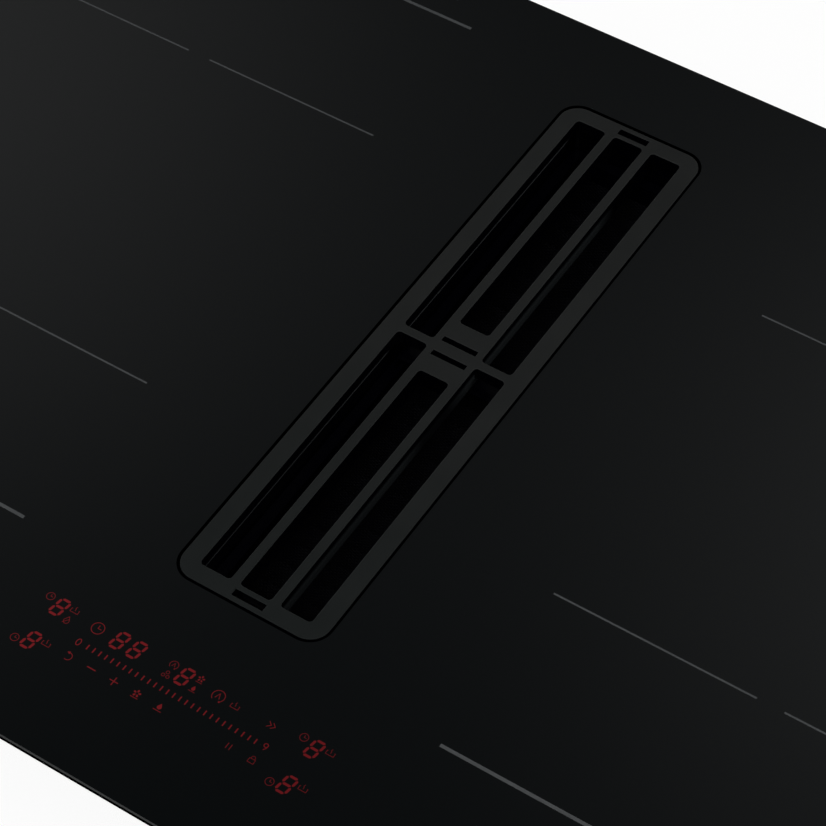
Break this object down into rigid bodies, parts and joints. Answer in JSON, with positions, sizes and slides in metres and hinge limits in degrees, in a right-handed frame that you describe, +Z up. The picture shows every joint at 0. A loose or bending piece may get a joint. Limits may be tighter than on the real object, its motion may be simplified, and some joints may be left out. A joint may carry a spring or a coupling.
{
  "type": "downdraft induction cooktop",
  "caption": "Black glass induction cooktop with touch panel and a central lift-out grille over a built-in downdraft extractor with filter and blower.",
  "frame": {"origin": "centre of the worktop cut-out, in the worktop's top surface", "axes": "+X to the right as seen by the cook, +Y to the back, +Z up"},
  "size_m": [0.83, 0.515, 0.2067],
  "materials": {
    "black_glass": "polished black glass-ceramic",
    "seal_rubber": "matt",
    "frame_steel": "black powder coat",
    "case_steel": "galvanised sheet",
    "bright_steel": "zinc plated",
    "grille_coat": "dark satin enamel on cast metal",
    "silicone": "matt",
    "black_plastic": "moulded",
    "grey_plastic": "moulded",
    "filter_steel": "black coated stainless sheet",
    "filter_mesh": "black coated expanded mesh",
    "aluminium": "plain",
    "mica": "matt",
    "copper_winding": "lacquered copper strand",
    "ferrite": "sintered",
    "sensor_ceramic": "glazed",
    "board_green": "solder resist",
    "capacitor_sleeve": "shrunk sleeve",
    "white_plastic": "moulded",
    "display_red": "tinted",
    "fan_black": "moulded",
    "cup_plastic": "moulded"
  },
  "bodies": {
    "base": {"glass_top": "black_glass", "rim_gasket": "seal_rubber", "glass_frame": "frame_steel", "screws": "bright_steel", "well_seal": "silicone", "suction_well": "black_plastic", "lower_case": "case_steel", "mica_sheets": "mica", "ferrite_bars": "ferrite", "coil_sensors": "sensor_ceramic", "posts": "white_plastic", "board_capacitors": "capacitor_sleeve", "board_chokes": "copper_winding", "control_tray": "grey_plastic", "control_board": "board_green", "light_guide": "white_plastic", "digit_modules": "display_red", "terminal_block": "grey_plastic", "terminal_cover": "case_steel", "cable_grommet": "seal_rubber", "plenum_cover": "grey_plastic", "blower_deck": "grey_plastic", "scroll_housing": "black_plastic", "outlet_duct": "black_plastic", "motor_stator": "copper_winding", "motor_bearings": "bright_steel", "cup_seal": "seal_rubber", "clamp_pivots": "bright_steel", "coil_front_left": "copper_winding", "coil_back_left": "copper_winding", "coil_front_right": "copper_winding", "coil_back_right": "copper_winding", "carrier_plate_left": "aluminium", "carrier_plate_right": "aluminium", "power_board_left": "board_green", "power_board_right": "board_green", "heat_sink_left": "aluminium", "heat_sink_right": "aluminium", "fan_frame_left": "fan_black", "fan_frame_right": "fan_black"},
    "grille": {"grille": "grille_coat", "grille_feet": "silicone"},
    "filter": {"filter_frame": "filter_steel", "filter_pleats": "filter_mesh", "filter_handle": "filter_steel"},
    "tray": {"drip_tray": "filter_steel"},
    "impeller": {"impeller": "white_plastic", "motor_rotor": "bright_steel", "motor_shaft": "bright_steel"},
    "fan_left": {"fan_rotor_left": "fan_black"},
    "fan_right": {"fan_rotor_right": "fan_black"},
    "cup": {"overflow_cup": "cup_plastic"},
    "clamp_front_left": {"clamp_arm_front_left": "bright_steel", "clamp_bolt_front_left": "bright_steel"},
    "clamp_back_left": {"clamp_arm_back_left": "bright_steel", "clamp_bolt_back_left": "bright_steel"},
    "clamp_front_right": {"clamp_arm_front_right": "bright_steel", "clamp_bolt_front_right": "bright_steel"},
    "clamp_back_right": {"clamp_arm_back_right": "bright_steel", "clamp_bolt_back_right": "bright_steel"}
  },
  "joints": [
    {"name": "tray_lift", "type": "slide", "parent": "base", "child": "tray", "axis": [0, 0, 1], "range_m": [0, 0.12]},
    {"name": "filter_lift", "type": "slide", "parent": "tray", "child": "filter", "axis": [0, 0, 1], "range_m": [0, 0.09]},
    {"name": "grille_lift", "type": "slide", "parent": "filter", "child": "grille", "axis": [0, 0, 1], "range_m": [0, 0.06]},
    {"name": "impeller_spin", "type": "hinge", "parent": "base", "child": "impeller", "pos_m": [0.14, 0.036, -0.15], "axis": [0, 0, 1], "continuous": true},
    {"name": "fan_left_spin", "type": "hinge", "parent": "base", "child": "fan_left", "pos_m": [-0.2205, -0.125, -0.036], "axis": [0, 0, 1], "continuous": true},
    {"name": "fan_right_spin", "type": "hinge", "parent": "base", "child": "fan_right", "pos_m": [0.2205, -0.125, -0.036], "axis": [0, 0, 1], "continuous": true},
    {"name": "cup_drop", "type": "slide", "parent": "base", "child": "cup", "axis": [0, 0, -1], "range_m": [0, 0.1]},
    {"name": "clamp_front_left_swing", "type": "hinge", "parent": "base", "child": "clamp_front_left", "pos_m": [-0.372, -0.15, -0.06025], "axis": [0, 0, -1], "range_deg": [0, 100]},
    {"name": "clamp_back_left_swing", "type": "hinge", "parent": "base", "child": "clamp_back_left", "pos_m": [-0.372, 0.15, -0.06025], "axis": [0, 0, 1], "range_deg": [0, 100]},
    {"name": "clamp_front_right_swing", "type": "hinge", "parent": "base", "child": "clamp_front_right", "pos_m": [0.372, -0.15, -0.06025], "axis": [0, 0, 1], "range_deg": [0, 100]},
    {"name": "clamp_back_right_swing", "type": "hinge", "parent": "base", "child": "clamp_back_right", "pos_m": [0.372, 0.15, -0.06025], "axis": [0, 0, -1], "range_deg": [0, 100]}
  ]
}
